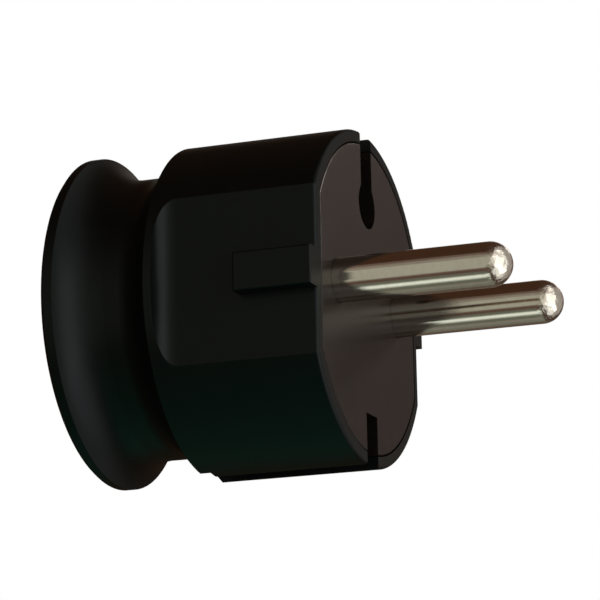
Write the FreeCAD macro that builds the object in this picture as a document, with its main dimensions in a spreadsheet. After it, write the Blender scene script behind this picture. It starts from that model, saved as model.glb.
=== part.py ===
import FreeCAD, Part
import math
import os
import Sketcher

# Rewirable type F mains plug with a grip disc, modelled standing on the disc.
# Z runs from the disc's flat back, at zero, to the pin tips. The two pins lie on the Y axis,
# the plain earth channel is at +X and the keyhole for the earth pin is at -X.

doc = FreeCAD.newDocument("mains_plug")
sheet = doc.addObject("Spreadsheet::Sheet", "Sizes")

# Driving dimensions in millimetres
driving = {
    # outer form of the moulded shell
    "body_length": 30.5,
    "body_radius": 18.45,
    "crown_base": 11.9,
    "front_edge_round": 0.4,
    "disc_radius": 18.45,
    "disc_rim": 1.4,
    "disc_back_bevel": 0.4,
    "neck_radius": 15.6,
    "neck_bottom": 6.0,
    "neck_length": 1.9,
    "groove_bend_rise": 1.2,
    "groove_bend_length": 2.6,
    # side flats and guide ribs
    "flat_half": 16.1,
    "flat_reach": 17.7,
    "flat_end_round": 2.0,
    "rib_half": 18.05,
    "rib_width": 4.15,
    "rib_length": 8.7,
    "rib_round": 0.2,
    # earth channels
    "channel_width": 3.45,
    "channel_floor": 12.77,
    "notch_width": 6.4,
    "notch_height": 1.2,
    "notch_floor": 17.0,
    "keyhole_offset": 10.4,
    "keyhole_radius": 2.6,
    # inside of the shell
    "rim_wall": 1.35,
    "flat_wall": 1.2,
    "back_wall": 4.0,
    "cavity_radius": 13.6,
    "plate_thickness": 7.0,
    "seat_gap": 0.1,
    "seam_round": 0.2,
    "fit_gap": 0.1,
    # pins
    "pin_radius": 2.4,
    "pin_reach": 19.0,
    "pin_offset": 9.5,
    "pin_shank_radius": 2.2,
    "pin_shoulder_bevel": 0.3,
    "pin_recess_gap": 0.05,
    "pin_recess_depth": 0.3,
    "collar_radius": 4.4,
    "collar_height": 2.0,
    "pin_head_radius": 3.4,
    "pin_tail": 12.5,
    "wire_hole_radius": 1.4,
    "wire_hole_depth": 7.0,
    "pin_screw_height": 16.0,
    # plate that holds the pin collars
    "retainer_thickness": 2.2,
    "retainer_half_width": 5.0,
    "retainer_half_length": 11.5,
    "retainer_screw_bite": 4.0,
    # earth path
    "strip_thickness": 0.8,
    "strip_half_width": 2.6,
    "strip_arm_half_width": 1.6,
    "strip_arm_base": 13.4,
    "socket_radius": 3.0,
    "socket_bore": 2.4,
    "socket_base": 14.2,
    "socket_seat": 3.0,
    "socket_slit": 0.8,
    "earth_block_near": 4.6,
    "earth_block_length": 4.8,
    "earth_block_half_width": 2.7,
    "earth_block_height": 5.3,
    "earth_wire_offset": 1.6,
    "earth_rivet_offset": 3.7,
    "rivet_radius": 0.9,
    "rivet_head_radius": 1.5,
    "rivet_head_height": 0.7,
    "rivet_depth": 2.4,
    # cheeks that guide the earth contact arm
    "cheek_near": 9.9,
    "cheek_far": 12.9,
    "cheek_thickness": 2.0,
    "cheek_base": 13.1,
    # long screws that close the housing
    "boss_x": 8.3,
    "boss_y": 6.0,
    "boss_radius": 3.0,
    "insert_radius": 2.1,
    "insert_length": 8.0,
    "screw_radius": 1.5,
    "screw_head_radius": 2.7,
    "screw_head_height": 1.6,
    "screw_end_gap": 0.8,
    "screw_hole_radius": 1.65,
    "counterbore_radius": 3.1,
    "counterbore_depth": 2.4,
    "washer_radius": 3.0,
    "washer_thickness": 0.5,
    # small screws
    "small_screw_radius": 1.2,
    "small_head_radius": 1.9,
    "small_head_height": 1.5,
    "driver_slot": 0.8,
    "driver_slot_depth": 0.8,
    # cord clamp and inlet
    "clamp_plate": 2.6,
    "clamp_half_length": 6.6,
    "cradle_depth": 8.4,
    "cradle_height": 4.4,
    "clamp_half_gap": 0.6,
    "clamp_screw_spread": 5.2,
    "clamp_screw_height": 2.2,
    "clamp_screw_bite": 5.0,
    "bridge_depth": 4.6,
    "bridge_height": 4.0,
    "cord_radius": 3.8,
    "inlet_radius": 4.3,
    "bush_radius": 5.4,
    "bush_flange_radius": 6.5,
    "bush_flange_height": 1.0,
}
for row, (alias, number) in enumerate(driving.items(), start=1):
    sheet.set(f"A{row}", alias)
    sheet.set(f"B{row}", str(number))
    sheet.setAlias(f"B{row}", alias)
doc.recompute()


class Size:
    """A length in millimetres, kept with the text that ties it to the sheet."""

    def __init__(self, value, text):
        self.value = value
        self.text = text

    def combined(self, other, sign, value):
        return Size(value, f"({self.text} {sign} {other.text})")

    def __add__(self, other):
        other = as_size(other)
        return self.combined(other, "+", self.value + other.value)

    def __sub__(self, other):
        other = as_size(other)
        return self.combined(other, "-", self.value - other.value)

    def __mul__(self, other):
        other = as_size(other)
        return self.combined(other, "*", self.value * other.value)

    def __truediv__(self, other):
        other = as_size(other)
        return self.combined(other, "/", self.value / other.value)

    def __neg__(self):
        return Size(-self.value, f"(0 - {self.text})")

    def root(self):
        return Size(math.sqrt(self.value), f"sqrt({self.text})")


def as_size(length):
    """Turn a plain number into a Size."""
    if isinstance(length, Size):
        return length
    return Size(float(length), repr(float(length)))


def size(alias):
    """The sheet's value under an alias."""
    return Size(float(sheet.get(alias)), f"Sizes.{alias}")


def chord(radius, offset):
    """Half the chord of a circle at a distance from its centre."""
    return (radius * radius - offset * offset).root()


def bend_radius(run, rise):
    """Radius of an arc that leaves a line tangentially and climbs rise over run."""
    return (run * run + rise * rise) / (rise * 2)


def bind(item, prop, length):
    """Set a property of an object and tie it to the sheet."""
    item.setExpression(prop, as_size(length).text)


def place(item, x, y, z):
    """Tie an object's base point to the sheet."""
    for prop, length in (("x", x), ("y", y), ("z", z)):
        bind(item, f"Placement.Base.{prop}", length)


# Part primitives

AXIS_X = FreeCAD.Rotation(FreeCAD.Vector(0, 1, 0), 90)
AXIS_Y = FreeCAD.Rotation(FreeCAD.Vector(1, 0, 0), -90)
AXIS_Z = FreeCAD.Rotation()
AXIS_BACK_X = FreeCAD.Rotation(FreeCAD.Vector(0, 1, 0), -90)
AXIS_BACK_Y = FreeCAD.Rotation(FreeCAD.Vector(1, 0, 0), 90)


def box(x0, x1, y0, y1, z0, z1):
    """A block between two corners."""
    item = doc.addObject("Part::Box", "block")
    bind(item, "Length", as_size(x1) - x0)
    bind(item, "Width", as_size(y1) - y0)
    bind(item, "Height", as_size(z1) - z0)
    place(item, x0, y0, z0)
    return item


def rod(radius, x, y, z, length, axis=AXIS_Z):
    """A cylinder that starts at a point and runs along an axis."""
    item = doc.addObject("Part::Cylinder", "rod")
    item.Placement = FreeCAD.Placement(FreeCAD.Vector(), axis)
    bind(item, "Radius", radius)
    bind(item, "Height", length)
    place(item, x, y, z)
    return item


def ring(radius, bore, x, y, z, length):
    """A rod along Z with a hole through it."""
    return cut(rod(radius, x, y, z, length), rod(bore, x, y, z, length))


def cut(base, *tools):
    """Take tools away from a base, one after another."""
    for tool in tools:
        item = doc.addObject("Part::Cut", "cut")
        item.Base = base
        item.Tool = tool
        base = item
    return base


def fuse(*pieces):
    """Join pieces that touch or overlap into one solid."""
    item = doc.addObject("Part::MultiFuse", "fuse")
    item.Shapes = list(pieces)
    item.Refine = True
    return item


def common(first, second):
    """Keep what two pieces share."""
    item = doc.addObject("Part::Common", "common")
    item.Base = first
    item.Tool = second
    return item


def group(*pieces):
    """Separate solids that share one node."""
    item = doc.addObject("Part::Compound", "group")
    item.Links = list(pieces)
    return item


# Sketches

def origin_plane(body, role):
    """One of a body's own origin planes."""
    return next(item for item in body.Origin.OriginFeatures if item.Role == role)


def new_sketch(body, plane, offset=None):
    """An empty sketch on a body's origin plane, raised by an offset."""
    sketch = body.newObject("Sketcher::SketchObject", "sketch")
    sketch.AttachmentSupport = (origin_plane(body, plane), "")
    sketch.MapMode = "FlatFace"
    if offset is not None:
        bind(sketch, "AttachmentOffset.Base.z", offset)
    return sketch


def pin_point(sketch, shape, end, x, y):
    """Hold a point of a sketch at two sizes measured from the origin."""
    for kind, length in (("DistanceX", x), ("DistanceY", y)):
        length = as_size(length)
        number = sketch.addConstraint(Sketcher.Constraint(kind, -1, 1, shape, end, length.value))
        sketch.setExpression(f"Constraints[{number}]", length.text)


def draw_circle(sketch, x, y, radius):
    """A circle with its centre and radius tied to the sheet."""
    x, y, radius = as_size(x), as_size(y), as_size(radius)
    centre = FreeCAD.Vector(x.value, y.value, 0)
    shape = sketch.addGeometry(Part.Circle(centre, FreeCAD.Vector(0, 0, 1), radius.value))
    pin_point(sketch, shape, 3, x, y)
    number = sketch.addConstraint(Sketcher.Constraint("Radius", shape, radius.value))
    sketch.setExpression(f"Constraints[{number}]", radius.text)


def draw_outline(sketch, points):
    """A closed outline. A point is (x, y), or (x, y, radius, side) where an arc leads to the next
    point: side is 1 when the arc bulges to the right of the way it runs, and -1 to the left."""
    corners = [(as_size(point[0]), as_size(point[1])) for point in points]
    shapes = []
    for index, point in enumerate(points):
        x0, y0 = corners[index]
        x1, y1 = corners[(index + 1) % len(corners)]
        start = FreeCAD.Vector(x0.value, y0.value, 0)
        end = FreeCAD.Vector(x1.value, y1.value, 0)
        if len(point) == 2:
            shapes.append((sketch.addGeometry(Part.LineSegment(start, end)), 1, 2))
            continue
        radius, side = as_size(point[2]), point[3]
        along = end - start
        half = along.Length / 2
        normal = FreeCAD.Vector(along.y, -along.x, 0).normalize()
        sagitta = radius.value - math.sqrt(max(radius.value ** 2 - half ** 2, 0.0))
        middle = start + along * 0.5 + normal * sagitta * side
        arc = Part.Arc(start, middle, end)
        shape = sketch.addGeometry(arc)
        first, last = (1, 2) if side > 0 else (2, 1)
        number = sketch.addConstraint(Sketcher.Constraint("Radius", shape, radius.value))
        sketch.setExpression(f"Constraints[{number}]", radius.text)
        shapes.append((shape, first, last))
    for index, (shape, first, last) in enumerate(shapes):
        following, following_first, _ = shapes[(index + 1) % len(shapes)]
        sketch.addConstraint(Sketcher.Constraint("Coincident", shape, last, following, following_first))
        pin_point(sketch, shape, first, *corners[index])


def revolve(body, points):
    """Turn an outline in the XZ plane about the Z axis."""
    sketch = new_sketch(body, "XZ_Plane")
    draw_outline(sketch, points)
    feature = body.newObject("PartDesign::Revolution", "revolution")
    feature.Profile = sketch
    feature.ReferenceAxis = (sketch, ["V_Axis"])
    feature.Angle = 360
    return feature


def extrude(body, kind, sketch, length, reverse=False, midplane=False):
    """Pad or pocket a sketch to a length."""
    feature = body.newObject(f"PartDesign::{kind}", kind.lower())
    feature.Profile = sketch
    bind(feature, "Length", length)
    feature.Reversed = reverse
    if midplane:
        feature.Midplane = True
    return feature


def round_edges(body, base, radius, wanted):
    """Fillet the edges of a feature that a test picks."""
    doc.recompute()
    names = [f"Edge{number}" for number, edge in enumerate(base.Shape.Edges, start=1) if wanted(edge)]
    feature = body.newObject("PartDesign::Fillet", "fillet")
    feature.Base = (base, names)
    bind(feature, "Radius", radius)
    return feature


def edge_span(edge):
    """Lowest and highest corner of an edge's box."""
    limits = edge.BoundBox
    return (limits.XMin, limits.YMin, limits.ZMin), (limits.XMax, limits.YMax, limits.ZMax)


# Sizes that several pieces share

face = size("body_length")
plate_back = face - size("plate_thickness")
retainer_back = plate_back - size("retainer_thickness")
strip_back = retainer_back - size("strip_thickness")
clamp_top = size("back_wall") + size("clamp_plate")
insert_top = clamp_top + size("insert_length")
seat_radius = size("body_radius") - size("rim_wall")
seat_half = size("flat_half") - size("flat_wall")
boss_spread = (size("boss_x") * size("boss_x") + size("boss_y") * size("boss_y")).root()
half_channel = size("channel_width") / 2
keyhole_x = -size("keyhole_offset")
earth_wire_x = size("earth_block_near") + size("earth_wire_offset")
earth_rivet_x = size("earth_block_near") + size("earth_rivet_offset")
outside = size("body_radius") + size("pin_radius")
TOLERANCE = 1e-4
PAN_FLATNESS = 1.25


def boss_places():
    """The two housing screws lie across the middle from each other."""
    return ((size("boss_x"), size("boss_y")), (-size("boss_x"), -size("boss_y")))


def flatted_outline(radius, half):
    """A circle with two flats, as at the plug's front."""
    reach = chord(radius, half)
    return (
        (reach, -half, radius, 1),
        (reach, half),
        (-reach, half, radius, 1),
        (-reach, -half),
    )


# Housing shell

def make_housing_shell():
    body = doc.addObject("PartDesign::Body", "housing_shell")
    neck_top = size("neck_bottom") + size("neck_length")
    disc_run = size("neck_bottom") - size("disc_rim")
    disc_rise = size("disc_radius") - size("neck_radius")
    bend_run, bend_rise = size("groove_bend_length"), size("groove_bend_rise")
    revolve(body, (
        (0, 0),
        (size("disc_radius") - size("disc_back_bevel"), 0),
        (size("disc_radius"), size("disc_back_bevel")),
        (size("disc_radius"), size("disc_rim"), bend_radius(disc_run, disc_rise), -1),
        (size("neck_radius"), size("neck_bottom")),
        (size("neck_radius"), neck_top, bend_radius(bend_run, bend_rise), -1),
        (size("neck_radius") + bend_rise, neck_top + bend_run),
        (size("body_radius"), size("crown_base")),
        (size("body_radius"), face),
        (0, face),
    ))

    # the two flats end in a rounded step
    for side in (1, -1):
        sketch = new_sketch(body, "YZ_Plane")
        step = face - size("flat_reach")
        bend = size("flat_end_round")
        near, far = size("flat_half") * side, outside * side
        draw_outline(sketch, (
            (near, face + bend),
            (near, step + bend, bend, side),
            (near + bend * side, step),
            (far, step),
            (far, face + bend),
        ))
        extrude(body, "Pocket", sketch, outside * 2, midplane=True)

    # seat for the contact carrier, then the cavity behind it
    sketch = new_sketch(body, "XY_Plane", face)
    draw_outline(sketch, flatted_outline(seat_radius, seat_half))
    extrude(body, "Pocket", sketch, size("plate_thickness"))
    sketch = new_sketch(body, "XY_Plane", face)
    draw_circle(sketch, 0, 0, size("cavity_radius"))
    extrude(body, "Pocket", sketch, face - size("back_wall"))

    # guide ribs on the flats
    half_rib = size("rib_width") / 2
    for side in (1, -1):
        sketch = new_sketch(body, "XY_Plane", face)
        root = (size("flat_half") - size("flat_wall") / 2) * side
        crest = size("rib_half") * side
        draw_outline(sketch, ((-half_rib, root), (half_rib, root), (half_rib, crest), (-half_rib, crest)))
        ribs = extrude(body, "Pad", sketch, size("rib_length"), reverse=True)

    # round the front rim and the ribs before the channels are cut
    rib_bottom = (face - size("rib_length")).value
    rib_crest = size("rib_half").value

    def is_rim(edge):
        low, high = edge_span(edge)
        at_face = abs(low[2] - face.value) < TOLERANCE and abs(high[2] - face.value) < TOLERANCE
        middle = edge.valueAt((edge.FirstParameter + edge.LastParameter) / 2)
        on_flat = abs(abs(middle.y) - size("flat_half").value) < TOLERANCE
        on_round = abs(math.hypot(middle.x, middle.y) - size("body_radius").value) < TOLERANCE
        return at_face and (on_flat or on_round)

    rim = round_edges(body, ribs, size("front_edge_round"), is_rim)

    def is_rib_crest(edge):
        low, high = edge_span(edge)
        on_crest = max(abs(low[1]), abs(high[1])) > rib_crest - TOLERANCE
        return on_crest and abs(low[1] - high[1]) < TOLERANCE and low[2] > rib_bottom - TOLERANCE

    round_edges(body, rim, size("rib_round"), is_rib_crest)

    # earth channels run from the face to a wider notch behind the rim
    notch_top = size("crown_base") + size("notch_height")
    half_notch = size("notch_width") / 2
    for side in (1, -1):
        sketch = new_sketch(body, "XY_Plane", face)
        near, far = size("channel_floor") * side, outside * side
        draw_outline(sketch, (
            (near, -half_channel), (far, -half_channel), (far, half_channel), (near, half_channel)))
        extrude(body, "Pocket", sketch, face - notch_top)
        sketch = new_sketch(body, "XY_Plane", notch_top)
        near = size("notch_floor") * side
        draw_outline(sketch, (
            (near, -half_notch), (far, -half_notch), (far, half_notch), (near, half_notch)))
        extrude(body, "Pocket", sketch, size("notch_height") * 2)

    # inlet and screw holes in the back wall
    sketch = new_sketch(body, "XY_Plane")
    draw_circle(sketch, 0, 0, size("bush_radius"))
    for x, y in boss_places():
        draw_circle(sketch, x, y, size("screw_hole_radius"))
    extrude(body, "Pocket", sketch, size("back_wall"), reverse=True)
    sketch = new_sketch(body, "XY_Plane")
    for x, y in boss_places():
        draw_circle(sketch, x, y, size("counterbore_radius"))
    extrude(body, "Pocket", sketch, size("counterbore_depth"), reverse=True)
    return body


# Contact carrier

def make_contact_carrier():
    body = doc.addObject("PartDesign::Body", "contact_carrier")
    gap = size("seat_gap")
    sketch = new_sketch(body, "XY_Plane", plate_back)
    draw_outline(sketch, flatted_outline(seat_radius - gap, seat_half - gap))
    plate = extrude(body, "Pad", sketch, size("plate_thickness"))

    def is_front_edge(edge):
        low, high = edge_span(edge)
        return abs(low[2] - face.value) < TOLERANCE and abs(high[2] - face.value) < TOLERANCE

    round_edges(body, plate, size("seam_round"), is_front_edge)

    # bosses for the threaded inserts
    sketch = new_sketch(body, "XY_Plane", plate_back)
    for x, y in boss_places():
        draw_circle(sketch, x, y, size("boss_radius"))
    extrude(body, "Pad", sketch, plate_back - clamp_top, reverse=True)

    # two cheeks guide the earth contact arm beside the plain channel
    near, far = size("cheek_near"), size("cheek_far")
    for side in (1, -1):
        sketch = new_sketch(body, "XY_Plane", plate_back)
        inner = (size("strip_arm_half_width") + size("fit_gap")) * side
        outer = inner + size("cheek_thickness") * side
        draw_outline(sketch, ((near, inner), (far, inner), (far, outer), (near, outer)))
        extrude(body, "Pad", sketch, plate_back - size("cheek_base"), reverse=True)

    # bores for pins, earth pin and inserts
    sketch = new_sketch(body, "XY_Plane", face)
    for side in (1, -1):
        draw_circle(sketch, 0, size("pin_offset") * side, size("pin_shank_radius"))
    draw_circle(sketch, keyhole_x, 0, size("keyhole_radius"))
    extrude(body, "Pocket", sketch, size("plate_thickness"))
    sketch = new_sketch(body, "XY_Plane", face)
    for side in (1, -1):
        draw_circle(sketch, 0, size("pin_offset") * side, size("pin_radius") + size("pin_recess_gap"))
    extrude(body, "Pocket", sketch, size("pin_recess_depth"))
    sketch = new_sketch(body, "XY_Plane", plate_back)
    for side in (1, -1):
        draw_circle(sketch, 0, size("pin_offset") * side, size("collar_radius") + size("fit_gap"))
    extrude(body, "Pocket", sketch, size("collar_height"), reverse=True)
    sketch = new_sketch(body, "XY_Plane", plate_back)
    draw_circle(sketch, keyhole_x, 0, size("socket_radius"))
    extrude(body, "Pocket", sketch, size("socket_seat"), reverse=True)
    sketch = new_sketch(body, "XY_Plane", clamp_top)
    for x, y in boss_places():
        draw_circle(sketch, x, y, size("insert_radius"))
    extrude(body, "Pocket", sketch, size("insert_length"), reverse=True)
    sketch = new_sketch(body, "XY_Plane", plate_back)
    draw_circle(sketch, 0, 0, size("screw_radius"))
    extrude(body, "Pocket", sketch, size("retainer_screw_bite"), reverse=True)

    # the earth channels go on through the plate
    for near, far in ((size("channel_floor"), outside), (keyhole_x, -outside)):
        sketch = new_sketch(body, "XY_Plane", face)
        draw_outline(sketch, (
            (near, -half_channel), (far, -half_channel), (far, half_channel), (near, half_channel)))
        extrude(body, "Pocket", sketch, size("plate_thickness"))
    return body


# Pins

def make_pin(name, side, screw_axis):
    """A solid turned pin: domed tip, a bevelled shoulder in line with the plate's face, a thinner
    shank through the plate, a collar behind it, and a head for the wire."""
    body = doc.addObject("PartDesign::Body", name)
    tip = face + size("pin_reach")
    collar_top = plate_back + size("collar_height")
    revolve(body, (
        (0, size("pin_tail")),
        (size("pin_head_radius"), size("pin_tail")),
        (size("pin_head_radius"), plate_back),
        (size("collar_radius"), plate_back),
        (size("collar_radius"), collar_top),
        (size("pin_shank_radius"), collar_top),
        (size("pin_shank_radius"), face),
        (size("pin_radius"), face + size("pin_shoulder_bevel")),
        (size("pin_radius"), tip - size("pin_radius"), size("pin_radius"), 1),
        (0, tip),
    ))
    sketch = new_sketch(body, "XY_Plane", size("pin_tail"))
    draw_circle(sketch, 0, 0, size("wire_hole_radius"))
    extrude(body, "Pocket", sketch, size("wire_hole_depth"), reverse=True)
    sketch = new_sketch(body, "YZ_Plane")
    draw_circle(sketch, 0, size("pin_screw_height"), size("small_screw_radius"))
    extrude(body, "Pocket", sketch, size("pin_head_radius"), reverse=screw_axis > 0)
    place(body, 0, size("pin_offset") * side, 0)
    return body


# Screws

def make_screw(radius, length, head_radius, head_height):
    """A slotted pan-head screw along Z: its head is below zero and its shank above."""
    dome_radius = bend_radius(head_radius, head_height) * PAN_FLATNESS
    head = rod(head_radius, 0, 0, -head_height, head_height)
    dome = doc.addObject("Part::Sphere", "dome")
    bind(dome, "Radius", dome_radius)
    place(dome, 0, 0, dome_radius - head_height)
    pan = common(head, dome)
    slot_half = size("driver_slot") / 2
    slot = box(-head_radius, head_radius, -slot_half, slot_half,
               -head_height, size("driver_slot_depth") - head_height)
    return fuse(cut(pan, slot), rod(radius, 0, 0, 0, length))


def set_screw(screw, x, y, z, axis):
    """Turn a screw along an axis and put its head's seat at a point."""
    screw.Placement = FreeCAD.Placement(FreeCAD.Vector(), axis)
    place(screw, x, y, z)
    return screw


def small_screw(length):
    radius, head_radius = size("small_screw_radius"), size("small_head_radius")
    return make_screw(radius, length, head_radius, size("small_head_height"))


def make_pin_screw(side, axis, direction):
    """Terminal screw in a pin's head. It stops short of the pin's centre line."""
    seat = size("pin_head_radius") + size("fit_gap")
    reach = seat - size("wire_hole_radius") / 2
    return set_screw(small_screw(reach), seat * direction, size("pin_offset") * side,
                     size("pin_screw_height"), axis)


def make_housing_screws():
    seat = size("counterbore_depth") - size("washer_thickness")
    length = insert_top - size("screw_end_gap") - seat
    screws = []
    for x, y in boss_places():
        screw = make_screw(size("screw_radius"), length, size("screw_head_radius"), size("screw_head_height"))
        screws.append(set_screw(screw, x, y, seat, AXIS_Z))
    return group(*screws)


def make_washers():
    thickness = size("washer_thickness")
    base = size("counterbore_depth") - thickness
    return group(*[
        ring(size("washer_radius"), size("screw_radius"), x, y, base, thickness)
        for x, y in boss_places()])


def make_inserts():
    return group(*[
        ring(size("insert_radius"), size("screw_radius"), x, y, clamp_top, size("insert_length"))
        for x, y in boss_places()])


# Pin retainer

def make_pin_retainer():
    half_width, half_length = size("retainer_half_width"), size("retainer_half_length")
    thickness = size("retainer_thickness")
    plate = box(-half_width, half_width, -half_length, half_length, retainer_back, plate_back)
    notch_radius = size("pin_head_radius") + size("fit_gap")
    tools = [rod(notch_radius, 0, size("pin_offset") * side, retainer_back, thickness) for side in (1, -1)]
    tools.append(rod(size("screw_radius"), 0, 0, retainer_back, thickness))
    return cut(plate, *tools)


def make_retainer_screw():
    length = size("strip_thickness") + size("retainer_thickness") + size("retainer_screw_bite")
    screw = make_screw(size("screw_radius"), length, size("screw_head_radius"), size("screw_head_height"))
    return set_screw(screw, 0, 0, strip_back, AXIS_Z)


# Earth path

def make_earth_strip():
    """A folded strip: it runs under the retainer and its arm lies along the plain channel."""
    half, arm_half = size("strip_half_width"), size("strip_arm_half_width")
    thickness = size("strip_thickness")
    floor_x = size("channel_floor")
    span = box(keyhole_x, size("cheek_near") - size("fit_gap"), -half, half, strip_back, retainer_back)
    neck = box(0, floor_x, -arm_half, arm_half, strip_back, retainer_back)
    arm = box(floor_x - thickness, floor_x, -arm_half, arm_half, size("strip_arm_base"), retainer_back)
    return cut(
        fuse(span, neck, arm),
        rod(size("socket_radius"), keyhole_x, 0, strip_back, thickness),
        box(keyhole_x * 2, keyhole_x, -half, half, strip_back, retainer_back),
        rod(size("screw_radius"), 0, 0, strip_back, thickness),
        rod(size("rivet_radius"), earth_rivet_x, 0, strip_back, thickness),
    )


def make_earth_socket():
    """A rolled sleeve with a slit towards the channel, so that it grips the earth pin."""
    height = plate_back + size("socket_seat") - size("socket_base")
    base = size("socket_base")
    half_slit = size("socket_slit") / 2
    sleeve = rod(size("socket_radius"), keyhole_x, 0, base, height)
    bore = rod(size("socket_bore"), keyhole_x, 0, base, height)
    slit = box(keyhole_x - size("socket_radius"), keyhole_x, -half_slit, half_slit, base, base + height)
    return cut(sleeve, bore, slit)


def make_earth_terminal():
    near = size("earth_block_near")
    half = size("earth_block_half_width")
    base = strip_back - size("earth_block_height")
    screw_height = strip_back - size("earth_block_height") / 2
    block = box(near, near + size("earth_block_length"), -half, half, base, strip_back)
    wire_depth = size("earth_block_height") - size("strip_thickness")
    wire = rod(size("wire_hole_radius"), earth_wire_x, 0, base, wire_depth)
    screw = rod(size("small_screw_radius"), earth_wire_x, -half, screw_height, half, AXIS_Y)
    rivet = rod(size("rivet_radius"), earth_rivet_x, 0, strip_back - size("rivet_depth"), size("rivet_depth"))
    return cut(block, wire, screw, rivet)


def make_earth_terminal_screw():
    seat = size("earth_block_half_width") + size("fit_gap")
    height = strip_back - size("earth_block_height") / 2
    screw = small_screw(seat - size("wire_hole_radius") / 2)
    return set_screw(screw, earth_wire_x, -seat, height, AXIS_Y)


def make_earth_rivet():
    depth = size("rivet_depth") + size("strip_thickness")
    shank = rod(size("rivet_radius"), earth_rivet_x, 0, retainer_back - depth, depth)
    head = rod(size("rivet_head_radius"), earth_rivet_x, 0, retainer_back, size("rivet_head_height"))
    return fuse(shank, head)


# Cord clamp, drawn with the housing screws on its X axis and then turned to meet them

def turn_to_bosses(item):
    """Turn a piece about Z from the X axis to the line through the housing screws."""
    item.Placement = FreeCAD.Placement(FreeCAD.Vector(), FreeCAD.Rotation(FreeCAD.Vector(0, 0, 1), 1))
    item.setExpression("Placement.Rotation.Angle", "atan2(Sizes.boss_y; Sizes.boss_x)")
    return item


def make_clamp_base():
    floor, plate = size("back_wall"), size("clamp_plate")
    half, gap = size("clamp_half_length"), size("clamp_half_gap")
    height = plate + size("cradle_height")
    disc = rod(size("cavity_radius") - size("fit_gap"), 0, 0, floor, plate)
    cradle = box(-half, half, -size("cradle_depth") - gap, -gap, floor, floor + height)
    tools = [
        rod(size("cord_radius"), 0, 0, floor, height),
        rod(size("bush_flange_radius"), 0, 0, floor, size("bush_flange_height")),
    ]
    for side in (1, -1):
        tools.append(rod(size("screw_radius"), boss_spread * side, 0, floor, plate))
        tools.append(rod(size("small_screw_radius"), size("clamp_screw_spread") * side,
                         -gap - size("clamp_screw_bite"), clamp_top + size("clamp_screw_height"),
                         size("clamp_screw_bite"), AXIS_Y))
    return turn_to_bosses(cut(fuse(disc, cradle), *tools))


def make_clamp_bridge():
    half, gap = size("clamp_half_length"), size("clamp_half_gap")
    depth, height = size("bridge_depth"), size("bridge_height")
    bar = box(-half, half, gap, gap + depth, clamp_top, clamp_top + height)
    tools = [rod(size("cord_radius"), 0, 0, clamp_top, height)]
    for side in (1, -1):
        tools.append(rod(size("small_screw_radius"), size("clamp_screw_spread") * side, gap,
                         clamp_top + size("clamp_screw_height"), depth, AXIS_Y))
    return turn_to_bosses(cut(bar, *tools))


def make_clamp_screws():
    gap = size("clamp_half_gap")
    length = size("bridge_depth") + gap * 2 + size("clamp_screw_bite") - size("fit_gap")
    screws = [
        set_screw(small_screw(length), size("clamp_screw_spread") * side, gap + size("bridge_depth"),
                  clamp_top + size("clamp_screw_height"), AXIS_BACK_Y)
        for side in (1, -1)]
    return turn_to_bosses(group(*screws))


def make_inlet_bush():
    floor, flange = size("back_wall"), size("bush_flange_height")
    tube = rod(size("bush_radius"), 0, 0, 0, floor)
    collar = rod(size("bush_flange_radius"), 0, 0, floor, flange)
    bore = rod(size("inlet_radius"), 0, 0, 0, floor + flange)
    return cut(fuse(tube, collar), bore)


sub_parts = {
    "housing_shell": make_housing_shell(),
    "contact_carrier": make_contact_carrier(),
    "line_pin": make_pin("line_pin", -1, 1),
    "neutral_pin": make_pin("neutral_pin", 1, -1),
    "line_terminal_screw": make_pin_screw(-1, AXIS_BACK_X, 1),
    "neutral_terminal_screw": make_pin_screw(1, AXIS_X, -1),
    "pin_retainer": make_pin_retainer(),
    "retainer_screw": make_retainer_screw(),
    "earth_strip": make_earth_strip(),
    "earth_socket": make_earth_socket(),
    "earth_terminal": make_earth_terminal(),
    "earth_terminal_screw": make_earth_terminal_screw(),
    "earth_terminal_rivet": make_earth_rivet(),
    "cord_clamp_base": make_clamp_base(),
    "cord_clamp_bridge": make_clamp_bridge(),
    "cord_clamp_screws": make_clamp_screws(),
    "cable_inlet_bush": make_inlet_bush(),
    "housing_screws": make_housing_screws(),
    "housing_screw_washers": make_washers(),
    "threaded_inserts": make_inserts(),
}
for name, item in sub_parts.items():
    item.Label = name
doc.recompute()

# Every object has to be sound before anything is written
for item in doc.Objects:
    if "Invalid" in item.State or "Error" in item.State:
        raise RuntimeError(f"{item.Label} failed: {item.State}")
os.makedirs("parts", exist_ok=True)
for name, item in sub_parts.items():
    shape = item.Shape
    if shape.isNull() or not shape.isValid() or not shape.Solids:
        raise RuntimeError(f"{name} has no sound shape")
    shape.exportStep(f"parts/{name}.step")
    print(f"{name}: {len(shape.Solids)} solid(s), {shape.Volume:.1f} mm3")
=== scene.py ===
# %% [markdown]
# This is a rewirable mains plug in black moulded plastic, with two nickel-plated pins. It stands on
# its grip disc with the pins up.
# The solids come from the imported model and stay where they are. They are fine enough to show as
# they are, so all but the pins keep their own mesh and get only their finish here. The pins are
# mirrors, and a mirror shows every flat of a coarse mesh, so the two are turned again, finer.

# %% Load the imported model
import math

import bmesh
import bpy
from mathutils import Matrix, Vector


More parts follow.
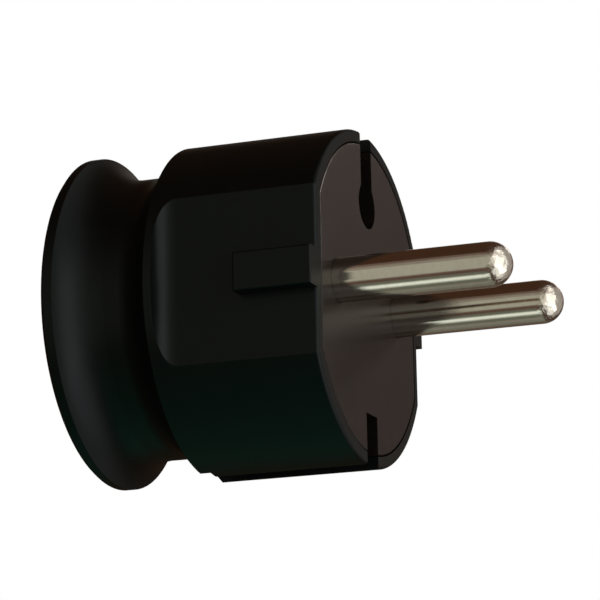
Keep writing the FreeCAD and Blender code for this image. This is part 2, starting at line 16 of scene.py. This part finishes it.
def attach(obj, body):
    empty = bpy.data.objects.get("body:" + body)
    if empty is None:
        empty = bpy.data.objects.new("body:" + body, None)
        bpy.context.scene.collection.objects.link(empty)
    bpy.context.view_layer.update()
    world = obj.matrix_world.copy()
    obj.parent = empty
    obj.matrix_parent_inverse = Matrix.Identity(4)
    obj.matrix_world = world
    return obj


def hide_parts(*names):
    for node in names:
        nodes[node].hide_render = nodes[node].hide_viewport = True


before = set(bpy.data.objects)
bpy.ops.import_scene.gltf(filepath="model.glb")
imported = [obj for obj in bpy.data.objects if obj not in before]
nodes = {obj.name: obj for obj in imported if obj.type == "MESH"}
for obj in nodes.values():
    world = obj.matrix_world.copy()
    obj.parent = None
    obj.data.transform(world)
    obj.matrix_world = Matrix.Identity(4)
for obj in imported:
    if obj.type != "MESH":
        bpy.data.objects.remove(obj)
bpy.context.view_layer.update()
MM = 0.001

# %% [markdown]
# Colours are written as the hex values that a paint chart or a picture editor shows. Blender
# works in linear light, so one function turns them over.

# %% Colours


def srgb(hex_value):
    """A linear RGBA colour from a hex value such as 'c0b8a8'."""
    channels = [int(hex_value[i:i + 2], 16) / 255 for i in (0, 2, 4)]
    linear = [c / 12.92 if c <= 0.04045 else ((c + 0.055) / 1.055) ** 2.4 for c in channels]
    return (*linear, 1.0)


print("mid grey in linear light:", srgb("808080"))

# %% [markdown]
# A material is a small network of nodes, from a place on the object to what the shader does
# there. It could be built with one function for each kind of node, but those are many and hide
# Blender's own names. One function that adds any node is enough. It takes the node's settings and
# what feeds its inputs, and hands back the output that the next node needs.

# %% Nodes


def add(tree, kind, settings=None, output=0, **inputs):
    """Add a node and return one of its outputs. An input is a value, or an output to link. It
    goes by name, with _ for a space, or by number, as i6, where several share a name."""
    node = tree.nodes.new(kind)
    for name, value in (settings or {}).items():
        setattr(node, name, value)
    for name, value in inputs.items():
        socket = node.inputs[int(name[1:]) if name[1:].isdigit() else name.replace("_", " ")]
        if isinstance(value, bpy.types.NodeSocket):
            tree.links.new(value, socket)
        else:
            socket.default_value = value
    return node.outputs[output] if node.outputs else None


def empty_material(name):
    """A material with no nodes yet, and its tree."""
    material = bpy.data.materials.new(name)
    material.use_nodes = True
    material.node_tree.nodes.clear()
    return material, material.node_tree


print("node functions ready")

# %% [markdown]
# No moulded, rolled or machined surface is quite even, and a flat colour looks like a drawing. All
# the plug's finishes but the pins' vary in the same two ways, so one function makes them. Slow
# patches move the colour and the roughness a little, and a finer grain is a shallow bump. Both
# are noise in the object's own space, with sizes in millimetres, so they stay on the object from
# every side. The IOR and the metallic value are even, so they go straight to the shader.

# %% A finish with patches and grain
PATCH_LOW = 0.3
PATCH_HIGH = 0.7
COLOUR_OUTPUT = 2


def mottled(name, patch, colours, roughness, grain, depth_mm, strength, **even_values):
    """A finish that drifts between two colours and two roughnesses. The patch and the grain are
    each a size in millimetres and a detail. The grain is a bump of a real depth."""
    material, tree = empty_material(name)
    place = add(tree, "ShaderNodeTexCoord", output="Object")
    patches, bumps = (
        add(tree, "ShaderNodeTexNoise", Vector=place, Scale=1 / (size_mm * MM), Detail=detail)
        for size_mm, detail in (patch, grain))
    share = add(tree, "ShaderNodeMapRange", Value=patches, From_Min=PATCH_LOW, From_Max=PATCH_HIGH)
    colour = add(tree, "ShaderNodeMix", {"data_type": "RGBA"}, output=COLOUR_OUTPUT,
                 i0=share, i6=srgb(colours[0]), i7=srgb(colours[1]))
    dullness = add(tree, "ShaderNodeMapRange", Value=patches, To_Min=roughness[0], To_Max=roughness[1])
    normal = add(tree, "ShaderNodeBump", Height=bumps, Distance=depth_mm * MM, Strength=strength)
    shader = add(tree, "ShaderNodeBsdfPrincipled", Base_Color=colour, Roughness=dullness,
                 Normal=normal, **even_values)
    add(tree, "ShaderNodeOutputMaterial", Surface=shader)
    print(name)
    return material


print("colour moves where the noise is between", PATCH_LOW, "and", PATCH_HIGH)

# %% [markdown]
# The housing is PBT, a tough polyester, shot into a polished mould. The eye gets a soft, wide
# sheen with no colour of its own, and a black with a little green in its depth. Such a plastic
# has an IOR near 1.55 and a roughness near 0.3. The plug in the photo mirrors less than that, so
# the IOR comes down to 1.32 and the roughness goes up to about 0.4.

# %% Black PBT, moulded
# The mould's ripple is about 3 mm. Its polish marks are under 0.05 mm, too fine to show, so they
# are drawn at 0.25 mm.
pbt = mottled("PBT, moulded black", patch=(3.0, 2.0), colours=("040807", "060a09"),
              roughness=(0.38, 0.44), grain=(0.25, 3.0), depth_mm=0.004, strength=0.35, IOR=1.32)

# %% [markdown]
# The front plate carries the contacts, so it is made of a harder thermoset, which stands heat. It
# was pressed hot, filled with ground mineral. To the eye it is a warmer and slightly greyer black
# than the housing, and glossier, so the pins mirror in it as soft streaks. Its IOR is lowered in
# the same way, and its roughness stays near the usual 0.25.

# %% Black thermoset, pressed
# The filler flows in patches of about 2 mm. Its grains are far under 0.1 mm and are drawn at 0.2.
thermoset = mottled("Thermoset, pressed black", patch=(2.2, 2.0), colours=("15100e", "19130f"),
                    roughness=(0.22, 0.27), grain=(0.2, 3.0), depth_mm=0.003, strength=0.35, IOR=1.32)

# %% [markdown]
# The contacts, terminals and fasteners are bare or plated metal. The earth strip is rolled bronze
# with a thin nickel plate, grey with a breath of yellow. The terminals are brass, sawn and bored
# from bar, so they keep a yellow cut surface. The screws are steel with a dull blue-grey zinc
# plate. A metal keeps the default IOR: its base colour is what it mirrors.

# %% Rolled strip, machined brass and zinc-plated steel
# Pits and tool marks of real metal are under 0.1 mm. They are drawn at 0.3 to 0.5 mm, so that
# they still show on pieces this small.
strip_metal = mottled("Nickel plate on rolled bronze", patch=(0.4, 4.0), colours=("b9b4a6", "ccc7ba"),
                      roughness=(0.24, 0.34), grain=(0.4, 4.0), depth_mm=0.003, strength=0.3, Metallic=1.0)
brass = mottled("Brass, machined", patch=(0.3, 4.0), colours=("b08d45", "c8a65c"),
                roughness=(0.22, 0.34), grain=(0.3, 4.0), depth_mm=0.003, strength=0.3, Metallic=1.0)
zinc = mottled("Steel, zinc-plated", patch=(0.5, 4.0), colours=("9d9d9c", "b9b9b6"),
               roughness=(0.25, 0.38), grain=(0.5, 4.0), depth_mm=0.003, strength=0.4, Metallic=1.0)

# %% [markdown]
# The cord clamp and the plate that holds the pins are nylon, which comes out of the mould with a
# satin skin. The ring round the cable inlet is soft rubber, the dullest black on the plug, with a
# dusty bloom. Both keep the usual IOR of their material, since the photo shows neither.

# %% Moulded nylon and soft rubber
# The satin skin's grain is about 0.3 mm, and the bloom's patches are about 0.6 mm.
nylon = mottled("Nylon, moulded black", patch=(0.3, 3.0), colours=("151515", "1e1e1e"),
                roughness=(0.45, 0.6), grain=(0.3, 3.0), depth_mm=0.008, strength=0.5, IOR=1.53)
rubber = mottled("Rubber, soft black", patch=(0.6, 4.0), colours=("161616", "222120"),
                 roughness=(0.6, 0.75), grain=(0.6, 4.0), depth_mm=0.012, strength=0.5, IOR=1.52)

# %% [markdown]
# The pins are turned brass with a bright nickel plate. The lathe leaves fine rings round the
# shaft, and they blur its mirror a little along its length. The domed tip meets every socket
# first, so it is dented and duller, which breaks its highlight into sparks. Height on the object
# tells the shader where the dome starts.

# %% Nickel plate on turned brass
# The rings keep the pitch of a real lathe's. That is less than a pixel here, so they show as a
# blur and not as lines. A wave texture repeats every tau / 20 where its scale is 1.
DOME_START = 47.1
DOME_BLEND = 0.5
RING_PITCH_MM = 0.075
WAVE_REPEAT = math.tau / 20
TONE_PATCH_MM = 0.8
DENT_WIDTH_MM = 0.7
DENT_DEPTH_MM = 0.12
SHAFT_ROUGHNESS = 0.13
DOME_ROUGHNESS = 0.22


def nickel_plate():
    """Bright on the shaft, with faint rings, and dented on the dome."""
    material, tree = empty_material("Nickel plate on turned brass")
    place = add(tree, "ShaderNodeTexCoord", output="Object")
    tones = add(tree, "ShaderNodeTexNoise", Vector=place, Scale=1 / (TONE_PATCH_MM * MM), Detail=4.0)
    share = add(tree, "ShaderNodeMapRange", Value=tones, From_Min=0.35, From_Max=0.65)
    colour = add(tree, "ShaderNodeMix", {"data_type": "RGBA"}, output=COLOUR_OUTPUT,
                 i0=share, i6=srgb("eadccc"), i7=srgb("efe2d2"))

    height = add(tree, "ShaderNodeSeparateXYZ", output="Z", Vector=place)
    on_dome = add(tree, "ShaderNodeMapRange", Value=height,
                  From_Min=DOME_START * MM, From_Max=(DOME_START + DOME_BLEND) * MM)
    dullness = add(tree, "ShaderNodeMapRange", Value=on_dome,
                   To_Min=SHAFT_ROUGHNESS, To_Max=DOME_ROUGHNESS)

    rings = add(tree, "ShaderNodeTexWave", {"wave_type": "BANDS", "bands_direction": "Z"},
                output="Fac", Vector=place, Scale=WAVE_REPEAT / (RING_PITCH_MM * MM),
                Distortion=0.6, Detail=2.0)
    ringed = add(tree, "ShaderNodeBump", Height=rings, Distance=0.002 * MM, Strength=0.25)
    dents = add(tree, "ShaderNodeTexNoise", Vector=place, Scale=1 / (DENT_WIDTH_MM * MM), Detail=2.0)
    dome_dents = add(tree, "ShaderNodeMath", {"operation": "MULTIPLY"}, i0=dents, i1=on_dome)
    dented = add(tree, "ShaderNodeBump", Height=dome_dents, Distance=DENT_DEPTH_MM * MM,
                 Strength=1.0, Normal=ringed)

    shader = add(tree, "ShaderNodeBsdfPrincipled", Base_Color=colour, Metallic=1.0,
                 Roughness=dullness, Normal=dented)
    add(tree, "ShaderNodeOutputMaterial", Surface=shader)
    return material


nickel = nickel_plate()
print(nickel.name, "- rings every", RING_PITCH_MM, "mm")

# %% [markdown]
# Each solid gets the finish of what it is made of. Its mesh stays as it came: only the material
# slot changes. Pieces inside the housing get theirs too, because the plug may be taken apart.

# %% Give every node its finish
finishes = {
    "housing_shell": pbt,
    "contact_carrier": thermoset,
    "line_pin": nickel,
    "neutral_pin": nickel,
    "line_terminal_screw": zinc,
    "neutral_terminal_screw": zinc,
    "pin_retainer": nylon,
    "retainer_screw": zinc,
    "earth_strip": strip_metal,
    "earth_socket": strip_metal,
    "earth_terminal": brass,
    "earth_terminal_screw": zinc,
    "earth_terminal_rivet": brass,
    "cord_clamp_base": nylon,
    "cord_clamp_bridge": nylon,
    "cord_clamp_screws": zinc,
    "cable_inlet_bush": rubber,
    "housing_screws": zinc,
    "housing_screw_washers": zinc,
    "threaded_inserts": brass,
}
for name, finish in finishes.items():
    nodes[name].data.materials.clear()
    nodes[name].data.materials.append(finish)
print("finished nodes:", len(finishes))

# %% [markdown]
# The pins are what the eye goes to, because they mirror the whole studio. Smooth shading alone
# can't hide the flats of their solids. So each pin is made again as a lathe would make it: one
# outline, spun round the pin's axis in fine steps. The outline runs from the bottom of the wire
# hole out and up to the tip, so that the piece can stand for the whole pin.

# %% The pin's outline
# A spare corner just below the dome keeps the smooth shading of the shaft straight.
PIN_RADIUS = 2.4
SHAFT_END_GAP = 0.2
DOME_STEPS = 24

# Radius and height of each corner, in millimetres
pin_outline = [
    # The hole for the wire
    (0, 19.5), (1.4, 19.5), (1.4, 12.6),
    # The head round it
    (1.5, 12.5), (3.3, 12.5), (3.4, 12.6), (3.4, 23.5),
    # The collar behind the plate
    (4.3, 23.5), (4.4, 23.6), (4.4, 25.4), (4.3, 25.5),
    # The shank through the plate
    (2.2, 25.5), (2.2, 30.2),
    # The shaft
    (PIN_RADIUS, 30.2), (PIN_RADIUS, 30.5), (PIN_RADIUS, DOME_START - SHAFT_END_GAP),
]
for step in range(DOME_STEPS):
    turn = math.pi / 2 * step / DOME_STEPS
    pin_outline.append((PIN_RADIUS * math.cos(turn), DOME_START + PIN_RADIUS * math.sin(turn)))
pin_outline.append((0, DOME_START + PIN_RADIUS))
print("outline points:", len(pin_outline))

# %% [markdown]
# Spinning makes one ring of vertices for each corner, and a strip of faces between each ring and
# the next. A corner on the axis is a single vertex, so the faces next to it are triangles. Edges
# that turn by more than 35 degrees stay sharp, which keeps the collar and the foot crisp, and the
# dome's small turns shade as one curve.

# %% A lathe
SHARP_ANGLE = 35


def turn_on_lathe(name, outline, x, y, steps):
    """Spin an outline of radii and heights round an upright axis at a place."""
    mesh = bmesh.new()
    rings = []
    for radius, height in outline:
        turns = [math.tau * i / steps for i in range(steps if radius else 1)]
        rings.append([mesh.verts.new(((x + radius * math.cos(turn)) * MM,
                                      (y + radius * math.sin(turn)) * MM, height * MM))
                      for turn in turns])
    for low, high in zip(rings, rings[1:]):
        for i in range(steps):
            following = (i + 1) % steps
            corners = [low[i % len(low)], low[following % len(low)],
                       high[following % len(high)], high[i % len(high)]]
            mesh.faces.new(list(dict.fromkeys(corners)))
    bmesh.ops.recalc_face_normals(mesh, faces=mesh.faces)
    for face in mesh.faces:
        face.smooth = True
    data = bpy.data.meshes.new(name)
    mesh.to_mesh(data)
    mesh.free()
    data.set_sharp_from_angle(angle=math.radians(SHARP_ANGLE))
    piece = bpy.data.objects.new(name, data)
    bpy.context.scene.collection.objects.link(piece)
    return piece


print("edges stay sharp above", SHARP_ANGLE, "degrees")

# %% Turn the pins
PIN_OFFSET = 9.5
PIN_STEPS = 128

turned_pins = []
for node_name, side in (("line_pin", -1), ("neutral_pin", 1)):
    pin = turn_on_lathe(node_name + "_turned", pin_outline, 0, PIN_OFFSET * side, PIN_STEPS)
    pin.data.materials.append(nickel)
    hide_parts(node_name)
    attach(pin, "root")
    turned_pins.append(pin)
    print(pin.name, "faces:", len(pin.data.polygons))

# %% [markdown]
# The photo was taken from a long way off with a long lens, so lines that run away from us hardly
# close in. The place and turn of the camera come from a fit of the plug's own edges to the
# picture. The plug's axis lies across the picture, so the camera is rolled a quarter turn.

# %% Camera
CAMERA_PLACE = Vector((73.5, -300.75, 134.7)) * MM
CAMERA_RIGHT = Vector((0.0187, 0.3534, 0.9353))
CAMERA_UP = Vector((-0.9742, -0.2042, 0.0966))
SENSOR_MM = 36.0
PICTURE_PIXELS = 600
FOCAL_PIXELS = 3026

camera_data = bpy.data.cameras.new("camera")
camera = bpy.data.objects.new("camera", camera_data)
bpy.context.scene.collection.objects.link(camera)
right = CAMERA_RIGHT.normalized()
up = (CAMERA_UP - CAMERA_UP.dot(right) * right).normalized()
back = right.cross(up)
camera.matrix_world = Matrix.Translation(CAMERA_PLACE) @ Matrix((right, up, back)).transposed().to_4x4()
camera_data.sensor_width = SENSOR_MM
camera_data.lens = SENSOR_MM * FOCAL_PIXELS / PICTURE_PIXELS
camera_data.clip_start = 0.01
camera_data.clip_end = 10.0
bpy.context.scene.camera = camera
print("lens:", round(camera_data.lens, 1), "mm")

# %% [markdown]
# A white floor and a white room stand round the plug. They glow by themselves, so they come out
# pure white, as in the photo, and no lamp leaves a pool or a shadow on them. Only the camera sees
# them. In mirror images they would turn the black plastic grey, so the plug mirrors the world's
# dim, warm light instead.

# %% Floor and room
FLOOR_HALF = 3.0
ROOM_HEIGHT = 3.0

white, white_tree = empty_material("White sweep")
glow = add(white_tree, "ShaderNodeEmission", Color=(1, 1, 1, 1), Strength=1.0)
add(white_tree, "ShaderNodeOutputMaterial", Surface=glow)


def sweep(name, corners, faces):
    """One plain piece of the white studio, seen by the camera and by nothing else."""
    mesh = bpy.data.meshes.new(name)
    mesh.from_pydata(corners, [], faces)
    piece = bpy.data.objects.new(name, mesh)
    bpy.context.scene.collection.objects.link(piece)
    piece.data.materials.append(white)
    piece.visible_glossy = False
    piece.visible_diffuse = False
    piece.visible_transmission = False
    piece.visible_shadow = False
    print(name, "faces:", len(faces))


base = [(-FLOOR_HALF, -FLOOR_HALF, 0), (FLOOR_HALF, -FLOOR_HALF, 0),
        (FLOOR_HALF, FLOOR_HALF, 0), (-FLOOR_HALF, FLOOR_HALF, 0)]
top = [(x, y, ROOM_HEIGHT) for x, y, z in base]
sweep("floor", base, [(0, 1, 2, 3)])
sweep("backdrop", base + top, [(0, 1, 5, 4), (1, 2, 6, 5), (2, 3, 7, 6), (3, 0, 4, 7), (4, 5, 6, 7)])

# %% The dim surroundings
DIM_SURROUND = 0.05

world = bpy.data.worlds.new("studio")
bpy.context.scene.world = world
world.use_nodes = True
background = world.node_tree.nodes["Background"]
background.inputs["Color"].default_value = srgb("ffbb90")
background.inputs["Strength"].default_value = DIM_SURROUND
print("surroundings:", DIM_SURROUND)

# %% [markdown]
# Black plastic shows little but what it mirrors, so the lights are its drawing. Softboxes do
# this, because a large light close by makes a wide, soft image. They are weak: what counts is how
# bright each looks in the mirror, so the power follows from its brightness and its area. The
# front panels overlap, brightest in the middle, so that their edge fades over the flats.

# %% A softbox
AIM = Vector((0, 0, 0.03))


def softbox(name, azimuth, elevation, distance, width, height, brightness, colour=(1, 1, 1)):
    """A rectangular light that looks at the plug from two angles in degrees. Azimuth counts
    from +X towards +Y."""
    data = bpy.data.lights.new(name, "AREA")
    data.shape = "RECTANGLE"
    data.size = width
    data.size_y = height
    data.energy = brightness * math.pi * width * height
    data.color = colour
    lamp = bpy.data.objects.new(name, data)
    bpy.context.scene.collection.objects.link(lamp)
    turn, lift = math.radians(azimuth), math.radians(elevation)
    towards = Vector((math.cos(lift) * math.cos(turn), math.cos(lift) * math.sin(turn), math.sin(lift)))
    lamp.location = AIM + towards * distance
    lamp.rotation_euler = towards.to_track_quat("Z", "Y").to_euler()
    lamp.visible_camera = False
    return lamp


print("softboxes look at", AIM)

# %% Lights for the whole plug
FAR = 0.6

softbox("ceiling", -90, 89, 0.5, 2.2, 2.2, 0.30, (0.92, 1.0, 1.0))
softbox("overhead", -90, 72, FAR, 0.7, 0.7, 1.05, (0.90, 0.98, 1.0))
softbox("front upper", -95, 40, FAR, 0.8, 0.4, 0.25)
softbox("right upper", -10, 45, FAR, 0.6, 0.5, 0.62, (0.85, 0.97, 1.0))
softbox("front panel", -91, -2, FAR, 0.58, 0.76, 0.16, (0.78, 1.0, 0.88))
softbox("front panel, wide", -97, -2, FAR, 0.80, 0.76, 0.12, (0.84, 1.0, 0.88))
softbox("front panel, widest", -101, -2, FAR, 1.06, 0.76, 0.09, (1.0, 0.92, 0.84))
softbox("back strip", 115, -16, FAR, 0.20, 0.34, 0.30, (1.0, 0.9, 0.8))
softbox("back", 108, 20, FAR, 0.5, 0.3, 0.10, (1.0, 0.80, 0.70))
print("lights so far:", len(bpy.data.lights))

# %% [markdown]
# Some lights are for one material. The housing's lower side shows a deep green in the photo, but
# a green lamp would also tint the pins and the earth contact. The pins throw a soft shadow across
# the face plate, from a low lamp that would glare on the shell. And the pins show narrow bright
# bands that would be stripes on the plastic. Light linking keeps these apart: a lamp reaches only
# what is in its receiver collection. Those collections aren't linked to the scene, so they move
# nothing and only serve as lists. Every piece still casts its shadow.

# %% Light linking


def light_only(name, pieces, lamps):
    """Let some lamps reach some pieces and nothing else."""
    receivers = bpy.data.collections.new(name)
    for piece in pieces:
        receivers.objects.link(piece)
    for lamp in lamps:
        lamp.light_linking.receiver_collection = receivers
    print(name, "lamps:", len(lamps), "pieces:", len(pieces))


print("a linked lamp reaches only the pieces in its list")

# %% Lights for the shell
light_only("shell only", [nodes["housing_shell"]], [
    softbox("shade", 0, -14, FAR, 1.2, 0.40, 0.20, (0.05, 1.0, 0.72)),
    softbox("back, shell", 108, 20, FAR, 0.5, 0.3, 0.07, (1.0, 0.80, 0.70)),
])

# %% Light for the face plate
light_only("plate only", [nodes["contact_carrier"]], [
    softbox("low key", 119, 38, FAR, 0.12, 0.12, 19.0, (1.0, 0.86, 0.78)),
])

# %% Lights for the bright metal
light_only("bright metal", [nodes["earth_strip"], *turned_pins], [
    softbox("back, metal", 108, 20, FAR, 0.5, 0.3, 0.07, (1.0, 0.80, 0.70)),
    softbox("side shade", 0, -14, FAR, 1.2, 0.40, 0.08, (0.35, 1.0, 0.80)),
    softbox("side strip", -22, -20, FAR, 0.14, 0.34, 0.50, (0.86, 1.0, 0.98)),
    softbox("side strip, wide", -21, -20, FAR, 0.25, 0.34, 0.30, (0.86, 1.0, 0.96)),
    softbox("side fill", -15, -16, FAR, 1.10, 0.40, 0.05, (1.0, 0.8, 0.8)),
    softbox("right bounce", 30, -16, FAR, 0.42, 0.40, 0.08, (1.0, 0.9, 0.9)),
    softbox("far right", 72, -16, FAR, 0.50, 0.40, 0.06, (0.95, 1.0, 0.9)),
    softbox("spark left", -173, 40, FAR, 0.20, 0.20, 1.5),
    softbox("spark right", 20, 58, FAR, 0.20, 0.20, 1.8),
    softbox("spark back", 118, 6, FAR, 0.08, 0.12, 1.6),
])

# %% [markdown]
# The Standard view leaves white as white and black as black, as the photo has them.

# %% The view transform
bpy.context.scene.view_settings.view_transform = "Standard"
